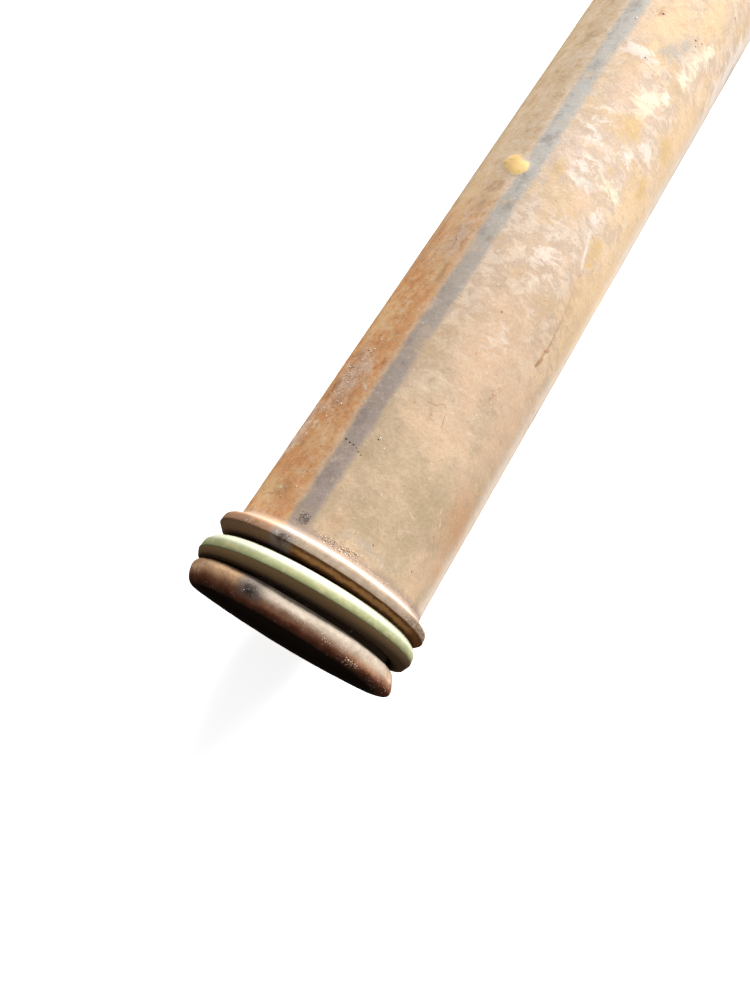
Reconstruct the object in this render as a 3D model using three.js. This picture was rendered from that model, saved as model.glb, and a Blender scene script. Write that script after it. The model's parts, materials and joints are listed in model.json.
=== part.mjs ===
// A corroded length of welded steel pipe. One end is rolled into a rounded lip, a groove and a collar,
// and a rubber sealing ring lies in the groove. The other end is sawn off square.
// Millimetres, +Z up. The pipe lies on level ground, its mouth towards -X and its sawn end towards +X.
// Every outline is drawn with x as the distance from the pipe's axis and y as the distance from the mouth.
import * as THREE from "three";

// Driving dimensions of the plain tube
const LENGTH = 500;
const TUBE_RADIUS = 16;
const WALL = 1.5;

// Rolled end: a radius is a distance from the axis, and every other value is a distance from the mouth
const MOUTH = { radius: 14.93, depth: 0.6, faceRadius: 15.9 };
const LIP = { radius: 17.74, crestStart: 2.3, crestEnd: 2.9, backRadius: 16.6, back: 3.85 };
const GROOVE = { radius: 14.74, start: 4.05, end: 8.5, cornerRadius: 15.3, corner: 0.55 };
const COLLAR = { footRadius: 16.85, foot: 8.65, radius: 18.13, crestStart: 9.83, crestEnd: 10.93, end: 12.4 };
const COLLAR_CREST_FALL = 0.1;

// Inside of the rolled end: the wall follows the groove inwards and fills most of the two beads
const BORE_RADIUS = TUBE_RADIUS - WALL;
const NECK = { radius: GROOVE.radius - WALL, start: 4, end: 8.4 };
const LIP_HOLLOW = { radius: 15.1, at: 1.5 };
const COLLAR_HOLLOW = { radius: 15.3, at: 10.3, end: 12.6 };

// Sealing ring, round in section, 0.3 mm clear of the groove's floor
const RING = { sectionRadius: 1.8, centreRadius: 16.88, at: 6.35 };

// Fineness: flats round each turned body, steps along each rounded stretch, sides of the ring's section
const SIDES = 48;
const ROUND_STEPS = 4;
const RING_STEPS = 16;

// Share of the way to the corner that makes a cubic curve follow a quarter of an ellipse
const QUARTER = 0.5523;

const rustedSteel = new THREE.MeshStandardMaterial({ color: 0xa87b55, roughness: 0.75, metalness: 0.35 });
const greenRubber = new THREE.MeshStandardMaterial({ color: 0x9db37c, roughness: 0.5, metalness: 0 });

// Continues an outline to (radius, at) round a corner, as a quarter of an ellipse
function roundTo(outline, corner, radius, at) {
  const from = outline.currentPoint.clone().lerp(corner, QUARTER);
  const to = new THREE.Vector2(radius, at).lerp(corner, QUARTER);
  outline.bezierCurveTo(from.x, from.y, to.x, to.y, radius, at);
}

// Continues an outline to (radius, at) along an S that leaves and arrives parallel to the axis
function swellTo(outline, radius, at) {
  const { x, y } = outline.currentPoint;
  const middle = (y + at) / 2;
  outline.bezierCurveTo(x, middle, radius, middle, radius, at);
}

// Mouth, lip, groove and collar along the outside, then the plain tube and its sawn end
function drawOutside(outline) {
  const corner = (radius, at) => new THREE.Vector2(radius, at);
  outline.moveTo(MOUTH.radius, MOUTH.depth);
  roundTo(outline, corner(MOUTH.radius, 0), MOUTH.faceRadius, 0);
  roundTo(outline, corner(LIP.radius, 0), LIP.radius, LIP.crestStart);
  outline.lineTo(LIP.radius, LIP.crestEnd);
  roundTo(outline, corner(LIP.radius, LIP.back), LIP.backRadius, LIP.back);
  outline.lineTo(GROOVE.cornerRadius, GROOVE.start);
  roundTo(outline, corner(GROOVE.radius, GROOVE.start), GROOVE.radius, GROOVE.start + GROOVE.corner);
  outline.lineTo(GROOVE.radius, GROOVE.end - GROOVE.corner);
  roundTo(outline, corner(GROOVE.radius, GROOVE.end), GROOVE.cornerRadius, GROOVE.end);
  outline.lineTo(COLLAR.footRadius, COLLAR.foot);
  outline.lineTo(COLLAR.radius, COLLAR.crestStart);
  outline.lineTo(COLLAR.radius - COLLAR_CREST_FALL, COLLAR.crestEnd);
  swellTo(outline, TUBE_RADIUS, COLLAR.end);
  outline.lineTo(TUBE_RADIUS, LENGTH);
  outline.lineTo(BORE_RADIUS, LENGTH);
}

// The bore from the sawn end back to the mouth
function drawInside(outline) {
  outline.lineTo(BORE_RADIUS, COLLAR_HOLLOW.end);
  swellTo(outline, COLLAR_HOLLOW.radius, COLLAR_HOLLOW.at);
  swellTo(outline, NECK.radius, NECK.end);
  outline.lineTo(NECK.radius, NECK.start);
  swellTo(outline, LIP_HOLLOW.radius, LIP_HOLLOW.at);
  outline.lineTo(MOUTH.radius, MOUTH.depth);
}

function pipeOutline() {
  const outline = new THREE.Path();
  drawOutside(outline);
  drawInside(outline);
  return outline.getPoints(ROUND_STEPS);
}

// A circle walked from its outermost point, so that the ring stands on one clean edge
function ringOutline() {
  const points = [];
  for (let step = 0; step < RING_STEPS; step += 1) {
    const angle = (2 * Math.PI * step) / RING_STEPS;
    const radius = RING.centreRadius + RING.sectionRadius * Math.cos(angle);
    points.push(new THREE.Vector2(radius, RING.at + RING.sectionRadius * Math.sin(angle)));
  }
  return [...points, points[0]];
}

// Spins a closed outline into a mesh whose axis runs along +X, with a flat and not an edge underneath
function turned(name, points, material) {
  const mesh = new THREE.Mesh(new THREE.LatheGeometry(points, SIDES, Math.PI / SIDES), material);
  mesh.name = name;
  mesh.rotation.z = -Math.PI / 2;
  return mesh;
}

// The ring stands out further than the tube, so the pipe lies on the ring and on the sawn end's lower edge
function restingTilt() {
  const rise = (RING.centreRadius + RING.sectionRadius - TUBE_RADIUS) * Math.cos(Math.PI / SIDES);
  return Math.atan(rise / (LENGTH - RING.at));
}

const assembly = new THREE.Group();
assembly.add(turned("pipe", pipeOutline(), rustedSteel));
assembly.add(turned("sealing_ring", ringOutline(), greenRubber));
assembly.rotation.y = restingTilt();
assembly.updateMatrixWorld(true);

// The origin is under the middle of the pipe, on the ground
const box = new THREE.Box3().setFromObject(assembly, true);
const middle = box.getCenter(new THREE.Vector3());
assembly.position.set(-middle.x, -middle.y, -box.min.z);

const object = new THREE.Group();
object.add(assembly);

export default object;
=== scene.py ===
"""Dresses a corroded pipe: a rolled steel tube, the rubber ring in its groove and the rust grains on it.

Pipe coordinates are in millimetres: x runs along the pipe's axis from its mouth, y sideways and z up. Angles
are in degrees round the axis, counted from straight up towards +y. A radius is a distance from the axis.
"""
import json
import logging
import math
import random
from collections.abc import Iterator
from dataclasses import dataclass
from enum import Enum
from functools import reduce

import bmesh
import bpy
from mathutils import Matrix, Vector, noise
from mathutils.bvhtree import BVHTree


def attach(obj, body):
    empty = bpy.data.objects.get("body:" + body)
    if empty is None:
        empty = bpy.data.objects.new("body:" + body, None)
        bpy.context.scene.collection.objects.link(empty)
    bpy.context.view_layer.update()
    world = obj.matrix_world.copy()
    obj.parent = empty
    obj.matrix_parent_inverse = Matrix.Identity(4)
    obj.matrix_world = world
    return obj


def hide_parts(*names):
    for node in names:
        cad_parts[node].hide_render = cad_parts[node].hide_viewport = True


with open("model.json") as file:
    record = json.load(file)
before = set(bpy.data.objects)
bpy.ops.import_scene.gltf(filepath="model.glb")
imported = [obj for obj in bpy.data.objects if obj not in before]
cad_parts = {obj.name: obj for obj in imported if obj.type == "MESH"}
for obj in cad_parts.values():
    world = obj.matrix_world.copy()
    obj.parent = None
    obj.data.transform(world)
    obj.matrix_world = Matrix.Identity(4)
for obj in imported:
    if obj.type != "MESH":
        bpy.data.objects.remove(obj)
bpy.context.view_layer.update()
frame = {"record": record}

BODY = "root"
SECTION = "section"
MM = 0.001
TUBE_RADIUS = 16.0
ARC = math.radians(TUBE_RADIUS)  # millimetres for each degree round the tube

log = logging.getLogger("corroded_pipe")

Body = bmesh.types.BMesh
Material = bpy.types.Material
Colour = tuple[float, float, float]
Ramp = tuple[tuple[float, Colour], ...]
Row = tuple[float, ...]
Span = tuple[float, float]
Inputs = dict[str | int, object]
Socket = bpy.types.NodeSocket
Value = float | Socket
Tint = Colour | Socket


class Slot(Enum):
    """The record's material slots."""

    STEEL = "rusted_steel"
    RUBBER = "green_rubber"


def step_up(value: float, low: float, high: float) -> float:
    """Gives 0 where `value` is at `low`, 1 where it is at `high` and a smooth step between."""
    share = min(max((value - low) / (high - low), 0.0), 1.0)
    return share * share * (3 - 2 * share)


@dataclass(frozen=True)
class PipeAxis:
    """The line that the pipe is turned about, from the mouth's middle, as the pipe lies on the ground."""

    mouth: Vector
    direction: Vector

    @classmethod
    def from_record(cls, length: float, wall_middle: float) -> "PipeAxis":
        """Finds the axis from the sawn end's mount, whose point lies in the middle of the wall.

        Args:
            length: The pipe's length, in metres.
            wall_middle: Radius of the middle of the tube's wall, in metres.

        Returns:
            The axis.
        """
        mount = frame["record"]["mounts"][0]
        end = cls(Vector(mount["pos_m"]), Vector(mount["axis"]).normalized())
        return cls(end.mouth - end.up * wall_middle - end.direction * length, end.direction)

    @property
    def up(self) -> Vector:
        """The direction square to the axis that points most nearly up."""
        return Vector((-self.direction.z, 0.0, self.direction.x))

    def placement(self) -> Matrix:
        """Gives the matrix from pipe coordinates to the ground's frame in metres."""
        turn = Matrix((self.direction, Vector((0.0, 1.0, 0.0)), self.up)).transposed()
        return Matrix.Translation(self.mouth) @ turn.to_4x4() @ Matrix.Scale(MM, 4)

    def point(self, along: float, radius: float, angle: float) -> Vector:
        """Gives the point in the ground's frame at a distance from the mouth, a radius and an angle."""
        turn = math.radians(angle)
        return self.placement() @ Vector((along, radius * math.sin(turn), radius * math.cos(turn)))


@dataclass(frozen=True)
class Corner:
    """One corner of a turned outline.

    Attributes:
        along: Distance from the mouth.
        radius: Distance from the axis.
        rounding: Length that the rounded corner takes from both of its sides.
        steps: Straight steps in the rounded corner.
    """

    along: float
    radius: float
    rounding: float
    steps: int


@dataclass(frozen=True)
class StepRule:
    """How long an outline's steps may be: short where the relief is fine, longer far from the mouth.

    Attributes:
        near: Longest step up to the distance `far_from`.
        far: Longest step beyond it.
        inside: Longest step on the bore.
        far_from: Distance from the mouth where the steps grow.
        bore: Radius below which a step belongs to the bore.
    """

    near: float
    far: float
    inside: float
    far_from: float
    bore: float

    def longest(self, middle: Vector) -> float:
        """Gives the longest step allowed round `middle`, a point of the outline."""
        outside = self.near if middle.x < self.far_from else self.far
        return self.inside if middle.z < self.bore else outside

    def divide(self, bm: Body) -> None:
        """Divides an outline's sides, the very long ones first where the steps grow.

        Args:
            bm: The outline, before it is spun.
        """
        for edge in [e for e in bm.edges if e.calc_length() > 4 * self.far]:
            start, end = (vert.co.x for vert in edge.verts)
            bmesh.utils.edge_split(edge, edge.verts[0], (self.far_from - start) / (end - start))
        for edge in list(bm.edges):
            middle = (edge.verts[0].co + edge.verts[1].co) / 2
            cuts = math.ceil(edge.calc_length() / self.longest(middle)) - 1
            if cuts > 0:
                bmesh.ops.subdivide_edges(bm, edges=[edge], cuts=cuts)


def turned(corners: list[Corner], sides: int, rule: StepRule) -> Body:
    """Rounds an outline's corners, divides its sides and spins it about the pipe's axis.

    Args:
        corners: The closed outline, corner by corner.
        sides: Flats round the turned body.
        rule: The longest steps of the outline.

    Returns:
        The turned body in pipe coordinates, with its faces outwards.
    """
    bm = bmesh.new()
    verts = [bm.verts.new((corner.along, 0.0, corner.radius)) for corner in corners]
    for start, end in zip(verts, verts[1:] + verts[:1]):
        bm.edges.new((start, end))
    for vert, corner in zip(verts, corners):
        bmesh.ops.bevel(
            bm, geom=[vert], offset=corner.rounding, offset_type="OFFSET", segments=corner.steps,
            profile=0.5, affect="VERTICES", material=-1, clamp_overlap=False,
        )
    rule.divide(bm)
    bmesh.ops.spin(
        bm, geom=bm.verts[:] + bm.edges[:], cent=(0, 0, 0), axis=(1, 0, 0), dvec=(0, 0, 0),
        angle=math.tau, steps=sides, use_merge=True,
    )
    bmesh.ops.recalc_face_normals(bm, faces=bm.faces)
    return bm


def finished(name: str, bm: Body, axis: PipeAxis, material: Material, slot: Slot) -> bpy.types.Object:
    """Puts a modelled piece in its place on the ground and fixes it to the pipe's body.

    Args:
        name: The piece's name.
        bm: The piece in pipe coordinates.
        axis: Where the pipe lies.
        material: The piece's finish.
        slot: The record's slot that the finish belongs to. Not used.

    Returns:
        The piece, at the origin, with its place in its mesh.
    """
    bmesh.ops.transform(bm, matrix=axis.placement(), verts=bm.verts)
    for face in bm.faces:
        face.smooth = True
    mesh = bpy.data.meshes.new(name)
    bm.to_mesh(mesh)
    bm.free()
    mesh.materials.append(material)
    piece = bpy.data.objects.new(name, mesh)
    bpy.context.scene.collection.objects.link(piece)
    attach(piece, BODY)
    log.info("%s: %d faces", name, len(mesh.polygons))
    return piece


class Tone(Enum):
    """The tones that lie on the rust in patches, each with the name of its mesh attribute."""

    GOLD = "gold"
    PEACH = "peach"
    ROSE = "rose"
    BLUSH = "blush"
    OCHRE = "ochre"
    YOLK = "yolk"
    BROWN = "brown"
    ASH = "ash"
    CREAM = "cream"
    STRAW = "straw"
    SOOT = "soot"
    CRACK = "crack"
    BORE = "bore"


@dataclass(frozen=True)
class Mark:
    """One patch of a tone on the pipe's outside.

    Attributes:
        tone: The patch's tone.
        along: Distance of its middle from the mouth.
        angle: Angle of its middle.
        length: Half its length along the pipe.
        width: Half its width round the pipe, in degrees.
        cover: 1 where it covers the rust wholly, 0.5 where only flakes of it are left.
    """

    tone: Tone
    along: float
    angle: float
    length: float
    width: float
    cover: float

    def weight(self, along: float, angle: float) -> float:
        """Gives the patch's weight at a place: `cover` in its middle, half a unit less at its edge."""
        apart = (angle - self.angle + 180) % 360 - 180
        return self.cover - 0.5 * math.hypot((along - self.along) / self.length, apart / self.width)


@dataclass(frozen=True)
class Stroke:
    """A line scored into the rust.

    Attributes:
        points: The line's corners, each as its distance from the mouth and its angle.
        width: Half the line's width.
        depth: How deep it is cut.
    """

    points: tuple[Span, ...]
    width: float
    depth: float = 0.0

    def runs(self) -> Iterator[tuple[Vector, Vector]]:
        """Gives the start and the run of each of the line's pieces on the unrolled surface."""
        corners = [Vector((along, angle * ARC, 0.0)) for along, angle in self.points]
        return ((start, end - start) for start, end in zip(corners, corners[1:]))

    def distance(self, place: Vector) -> float:
        """Finds how far a place is from the line.

        Args:
            place: The place on the unrolled surface.

        Returns:
            The distance.
        """
        nearest = math.inf
        for start, run in self.runs():
            share = min(max((place - start).dot(run) / run.length_squared, 0.0), 1.0)
            nearest = min(nearest, (place - start - run * share).length)
        return nearest


@dataclass(frozen=True)
class Weathering:
    """Where the rust's patches, scratches and weld seam lie on the pipe, and how high they stand.

    Attributes:
        seam: Angles of the weld seam's two sides.
        patches: The patches near the mouth, tone by tone, each in the order of a Mark's own values.
        strewn: Number of patches strewn over the rest.
        seed: Start of the random draws for the strewn patches.
        strewn_along: Distances from the mouth between which patches are strewn.
        strewn_length: Least and greatest half length of a strewn patch.
        strewn_cover: Least and greatest cover of a strewn patch.
        strewn_shape: Least and greatest width of a strewn patch over its length.
        speck: Size of a strewn patch of soot over that of another patch.
        bare: Distance and angle up to which nothing is strewn, because the patches there are placed.
        unevenness: Height and size of the rust's bumps, from fine to broad.
        raggedness: How much the flakes tear the edges of the lifted tones.
        lifts: How high the tones stand out.
        lift_edge: Weights between which a tone rises to its full height.
        crust_edge: Weights between which the yellow crust rises.
        seam_edge: Half the width of the weld seam's sloping sides, in degrees.
    """

    seam: Span = (19.5, 31.5)
    lip_radius: float = 17.45
    scratch: Stroke = Stroke(((55.1, -41.1), (60.1, -43.0), (65.3, -40.4), (73.1, -34.6)), 0.45, 0.05)
    scrape: Stroke = Stroke(((74.2, -33.0), (77.0, -29.6), (80.2, -25.6)), 0.55, 0.03)
    lip_scratches: tuple[Stroke, ...] = (
        Stroke(((0.7, 74.5), (1.2, 70.2), (1.5, 65.8), (2.0, 62.6), (2.5, 60.2)), 0.16),
        Stroke(((1.0, 61.8), (1.6, 61.4), (2.3, 61.0)), 0.16),
        Stroke(((2.3, 75.2), (2.8, 73.9), (3.2, 71.0)), 0.13),
    )
    cracks: tuple[Stroke, ...] = (
        Stroke(((36.1, -10.3), (38.3, -8.4), (39.4, -5.4), (38.5, -1.0), (38.2, 3.5)), 0.13),
        Stroke(((15.6, 44.0), (16.6, 49.0), (16.0, 55.0), (15.4, 62.0)), 0.2),
        Stroke(((35.2, 61.0), (36.8, 65.5)), 0.5),
        Stroke(((55.1, -41.0), (57.0, -43.2)), 0.55),
        Stroke(((58.2, -40.6), (59.0, -44.6)), 0.3),
    )
    patches: tuple[tuple[Tone, tuple[Row, ...]], ...] = (
        (Tone.ROSE, (
            (27, -54, 4.8, 14, 0.95), (19.5, -60, 3, 10, 0.6), (16, 9, 4, 9, 0.5), (24, 54, 4.5, 9, 1),
            (47, 38, 4, 5, 0.7), (71, 60, 5, 9, 0.8),
        )),
        (Tone.PEACH, (
            (18, -50, 5, 14, 0.8), (43, -45, 14, 14, 0.9), (43, -16, 5, 9, 0.85), (52, -12, 9, 20, 0.95),
            (40, 33, 28, 3.5, 0.8), (83, -10, 6, 9, 0.8), (110, 4, 8, 9, 0.85),
        )),
        (Tone.GOLD, (
            (74, -56, 16, 15, 1), (94, -52, 6, 14, 1), (90, -38, 9, 7, 0.9), (112, -52, 16, 14, 0.95),
            (126, 0, 8, 12, 1), (136, -26, 9, 12, 0.85), (27, 46, 3, 9, 0.9), (16.5, 60, 3, 13, 1),
            (51, 62, 5.5, 10, 0.95), (60, 40, 6, 7, 0.7), (78, 58, 8, 9, 0.75),
        )),
        (Tone.CREAM, (
            (53, -12, 6, 14, 0.55), (71, -10, 6, 17, 0.6), (88, -2, 7, 16, 0.58), (96.5, -20, 2, 7, 0.75),
            (101, -30, 1.8, 7, 0.75), (98, 5, 8, 10, 0.62), (117, 7, 1.2, 9, 1.1), (83, -23, 2, 4, 0.8),
            (18.9, -19.6, 1.1, 3.2, 0.62), (136, -62, 14, 9, 0.8),
        )),
        (Tone.BLUSH, ((38, 54, 6, 11, 0.95), (29, 68, 6, 6, 0.9), (68, 42, 6, 9, 0.75), (90, 8, 9, 9, 0.7))),
        (Tone.STRAW, (
            (89.2, -24, 1.1, 9.5, 0.95), (107.6, -13, 2.5, 8.5, 1), (112, -23.5, 1.1, 4, 1.05),
            (118.3, -27, 1.6, 4, 0.95), (122, -30, 2.6, 5.5, 0.95), (128, -34, 4, 5, 0.8),
        )),
        (Tone.OCHRE, (
            (78, -36, 3.5, 5, 0.85), (95.5, -43, 2.2, 5, 0.95), (106, -44, 2.6, 8, 0.85),
            (102, -14, 2.6, 7, 1.05), (86, 11, 3, 7, 0.8), (81, -11, 2.5, 6, 0.7), (92, -17, 1.8, 5, 0.7),
        )),
        (Tone.YOLK, ((84.3, 32.4, 1.7, 5.8, 1), (85, 36.5, 1.5, 5.8, 1), (86, 40.5, 1.5, 5.8, 1))),
        (Tone.BROWN, (
            (17.5, 47, 2, 7, 0.75), (27, 60, 5, 7, 0.65), (36.4, 63.5, 1.5, 3, 1), (42, 58, 4, 6, 0.65),
            (60, 38, 5, 5, 0.6), (66, 66, 10, 9, 0.6), (76, 42, 3, 5, 0.65), (43.5, -34, 1.8, 8, 0.55),
            (128, 9, 2.5, 4, 0.7),
        )),
        (Tone.ASH, (
            (119.2, -5.5, 1.1, 4.5, 0.85), (121.2, -11, 2.1, 5.5, 1), (124.2, -16, 2.1, 3.8, 0.9),
            (127.5, -20.5, 1.8, 2.6, 0.7), (86.5, -8, 2.5, 6, 0.6), (139, -58, 8, 6, 0.5),
            (15, -12, 2.2, 30, 0.5),
        )),
        (Tone.SOOT, (
            (14.1, 24.6, 1.1, 3.4, 0.9), (10, 25, 1, 4.2, 0.9), (1.8, 25, 1.1, 5, 0.95),
            (18.7, 25, 1.6, 4, 0.5), (43, 25.5, 4, 4, 0.55), (74, 25, 3.2, 3.6, 0.75),
        )),
        (Tone.CRACK, (
            (45, -26, 6, 14, 0.6), (37.5, -3, 3, 8, 0.62), (38, 56, 9, 13, 1), (18, 52, 5, 10, 0.7),
            (56, 55, 22, 22, 0.62),
        )),
    )
    strewn: int = 150
    strewn_tones: tuple[Tone, ...] = (
        Tone.PEACH, Tone.ROSE, Tone.OCHRE, Tone.OCHRE, Tone.BROWN, Tone.BROWN, Tone.ASH, Tone.CREAM,
        Tone.SOOT,
    )
    seed: int = 31
    strewn_along: Span = (12, 500)
    strewn_length: Span = (2, 11)
    strewn_cover: Span = (0.55, 0.95)
    strewn_shape: Span = (0.6, 1.6)
    speck: float = 0.25
    bare: Span = (150, 80)
    unevenness: tuple[Span, ...] = ((0.016, 1.1), (0.03, 3.1), (0.04, 11.0))
    flake_size: float = 1.9
    raggedness: float = 0.45
    lifts: tuple[tuple[Tone, float], ...] = (
        (Tone.CREAM, 0.04), (Tone.STRAW, 0.05), (Tone.BLUSH, 0.05), (Tone.SOOT, -0.07),
    )
    lift_edge: Span = (0.4, 0.7)
    seam_height: float = 0.05
    seam_edge: float = 2.0
    crust_height: float = 0.14
    crust_edge: Span = (0.48, 0.62)

    def marks(self) -> list[Mark]:
        """Lists the placed patches and strews the others over the rest of the pipe.

        Returns:
            All the patches.
        """
        marks = [Mark(tone, *row) for tone, rows in self.patches for row in rows]
        total = len(marks) + self.strewn
        chance = random.Random(self.seed)
        while len(marks) < total:
            along, angle = chance.uniform(*self.strewn_along), chance.uniform(-180, 180)
            tone = chance.choice(self.strewn_tones)
            length, cover = chance.uniform(*self.strewn_length), chance.uniform(*self.strewn_cover)
            size = length * (self.speck if tone is Tone.SOOT else 1.0)
            if along > self.bare[0] or abs(angle) > self.bare[1]:
                width = size / ARC * chance.uniform(*self.strewn_shape)
                marks.append(Mark(tone, along, angle, size, width, cover))
        return marks

    def relief(self, place: Vector, along: float, angle: float, weights: dict[Tone, float]) -> float:
        """Finds the height of the rust at a place.

        Args:
            place: The place in pipe coordinates.
            along: Its distance from the mouth.
            angle: Its angle.
            weights: The weight of each tone there.

        Returns:
            The height above the clean surface.
        """
        height = 0.0
        for bump, size in self.unevenness:
            height += bump * noise.noise(place / size)
        flake = noise.noise(place / self.flake_size)
        for tone, lift in self.lifts:
            height += lift * step_up(weights.get(tone, 0.0) + self.raggedness * flake, *self.lift_edge)
        (low, high), edge = self.seam, self.seam_edge
        rise = step_up(angle, low - edge, low + edge)
        height += self.seam_height * rise * step_up(-angle, -high - edge, edge - high)
        height += self.crust_height * step_up(weights.get(Tone.YOLK, 0.0), *self.crust_edge)
        unrolled = Vector((along, angle * ARC, 0.0))
        for stroke in (self.scratch, self.scrape):
            if stroke.points[0][0] - 2 < along < stroke.points[-1][0] + 2:
                height -= stroke.depth * step_up(-stroke.distance(unrolled), -2 * stroke.width, 0.0)
        return height

    def apply(self, bm: Body) -> None:
        """Raises the rust's relief on a turned body, and notes the tones' weights and the lip's section.

        Args:
            bm: The body in pipe coordinates.
        """
        layers = {tone: bm.verts.layers.float.new(tone.value) for tone in Tone}
        section = bm.verts.layers.float.new(SECTION)
        near: dict[int, list[Mark]] = {}
        for mark in self.marks():
            for cell in range(int(mark.along - 2 * mark.length), int(mark.along + 2 * mark.length) + 1):
                near.setdefault(cell, []).append(mark)
        bm.normal_update()
        for vert in bm.verts:
            along, side, up = vert.co
            radius = math.hypot(side, up)
            vert[section] = along + radius - self.lip_radius
            if vert.normal.dot((0.0, side, up)) < -0.1 * radius:
                vert[layers[Tone.BORE]] = 1.0
                continue
            angle = math.degrees(math.atan2(side, up))
            weights: dict[Tone, float] = {}
            for mark in near.get(int(along), ()):
                weights[mark.tone] = max(weights.get(mark.tone, 0.0), mark.weight(along, angle))
            for tone, weight in weights.items():
                vert[layers[tone]] = weight
            vert.co += vert.normal * self.relief(vert.co, along, angle, weights)


class Recipe:
    """Writes one material's nodes, and keeps the colour that has been laid on so far."""

    colour: Socket

    def __init__(self, name: str, axis: PipeAxis) -> None:
        """Starts an empty material whose patterns are laid out in pipe coordinates.

        Args:
            name: The material's name.
            axis: Where the pipe lies.
        """
        self.material = bpy.data.materials.new(name)
        self.material.use_nodes = True
        self.tree = self.material.node_tree
        self.tree.nodes.clear()
        turn = axis.placement().to_3x3().normalized().transposed()
        mapping = {
            "Vector": self.node("TexCoord").outputs["Object"],
            "Location": -(turn @ axis.mouth) / MM,
            "Rotation": turn.to_euler(),
            "Scale": (1 / MM,) * 3,
        }
        self.place = self.node("Mapping", mapping).outputs[0]
        self.along, side, up = self.node("SeparateXYZ", {0: self.place}).outputs
        self.angle = self.math("DEGREES", self.math("ARCTAN2", side, up))
        self.radius = self.math("SQRT", self.scaled(side, side, self.math("MULTIPLY", up, up)))

    def node(self, kind: str, inputs: Inputs | None = None, **settings: object) -> bpy.types.Node:
        """Adds a node.

        Args:
            kind: The node's type without its ShaderNode prefix.
            inputs: Numbers, colours, vectors or sockets for its inputs, by name or place.
            **settings: The node's own properties.

        Returns:
            The node.
        """
        made = self.tree.nodes.new("ShaderNode" + kind)
        for key, value in settings.items():
            setattr(made, key, value)
        for key, value in (inputs or {}).items():
            socket = made.inputs[key]
            if isinstance(value, Socket):
                self.tree.links.new(value, socket)
            elif isinstance(value, (int, float)):
                socket.default_value = value
            else:
                socket.default_value = (*value, 1.0) if socket.type == "RGBA" else tuple(value)
        return made

    def math(self, operation: str, a: Value, b: Value = 0.0, c: Value = 0.0) -> Socket:
        """Gives the result of one arithmetic operation on `a`, `b` and `c`."""
        return self.node("Math", {0: a, 1: b, 2: c}, operation=operation).outputs[0]

    def vector(self, operation: str, inputs: Inputs, output: str = "Vector") -> Socket:
        """Gives the result of one vector operation."""
        return self.node("VectorMath", inputs, operation=operation).outputs[output]

    def scaled(self, value: Value, factor: Value, plus: Value) -> Socket:
        """Gives `value` times `factor`, with `plus` added."""
        return self.math("MULTIPLY_ADD", value, factor, plus)

    def smooth(self, value: Value, low: float, high: float) -> Socket:
        """Gives 0 where `value` is at `low`, 1 where it is at `high` and a smooth step between."""
        inputs = {"Value": value, "From Min": low, "From Max": high}
        return self.node("MapRange", inputs, interpolation_type="SMOOTHSTEP").outputs[0]

    def band(self, value: Socket, low: float, high: float, edge: float) -> Value:
        """Gives 1 between `low` and `high` and 0 outside, with soft edges `edge` wide."""
        rise = self.smooth(value, low - edge / 2, low + edge / 2)
        return self.both(rise, self.smooth(value, high + edge / 2, high - edge / 2))

    def both(self, *masks: Value) -> Value:
        """Gives the product of all the masks."""
        return reduce(lambda a, b: self.math("MULTIPLY", a, b), masks)

    def either(self, *masks: Value) -> Value:
        """Gives the greatest of all the masks."""
        return reduce(lambda a, b: self.math("MAXIMUM", a, b), masks)

    def mix(self, factor: Value, under: Tint, over: Tint, blend: str = "MIX") -> Socket:
        """Lays the tint `over` on the tint `under` where `factor` is 1."""
        inputs = {0: factor, 6: under, 7: over}
        return self.node("Mix", inputs, data_type="RGBA", blend_type=blend).outputs[2]

    def lay(self, tint: Tint, *masks: Value) -> None:
        """Lays a tint on the colour so far where all the masks are 1."""
        self.colour = self.mix(self.both(*masks), self.colour, tint)

    def shade(self, tint: Tint, *masks: Value) -> None:
        """Multiplies the colour so far by a tint where all the masks are 1."""
        self.colour = self.mix(self.both(*masks), self.colour, tint, "MULTIPLY")

    def moved(self, shift: Row, stretch: Row = (1, 1, 1)) -> Socket:
        """Gives the place stretched and then shifted, so that two patterns differ."""
        return self.node("Mapping", {"Vector": self.place, "Location": shift, "Scale": stretch}).outputs[0]

    def noise(
        self, size: float, detail: float, rough: float, shift: Row = (), stretch: Row = (1, 1, 1),
        bend: float = 0.0,
    ) -> Socket:
        """Makes cloudy noise.

        Args:
            size: How far across the clouds are, about.
            detail: How many finer layers the noise has.
            rough: How strong the finer layers are.
            shift: Moves the noise, so that two noises differ.
            stretch: Scales the place along, sideways and up.
            bend: How much the clouds are distorted.

        Returns:
            The noise, from 0 to 1.
        """
        inputs = {"Vector": self.moved(shift, stretch) if shift else self.place, "Scale": 1 / size}
        inputs |= {"Detail": detail, "Roughness": rough, "Distortion": bend}
        return self.node("TexNoise", inputs).outputs[0]

    def ramp(self, value: Socket, stops: Ramp) -> Socket:
        """Looks a value up in a ramp.

        Args:
            value: The value, from 0 to 1.
            stops: The ramp's places in rising order, each with its colour.

        Returns:
            The colour, blended between the stops.
        """
        made = self.node("ValToRGB", {0: value})
        places = made.color_ramp.elements
        while len(places) < len(stops):
            places.new(0.5)
        for place, (position, colour) in zip(places, stops):
            place.position = position
            place.color = (*colour, 1.0)
        return made.outputs[0]

    def attribute(self, name: str) -> Socket:
        """Gives the value that the mesh holds under a name."""
        return self.node("Attribute", attribute_name=name).outputs["Fac"]

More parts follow.
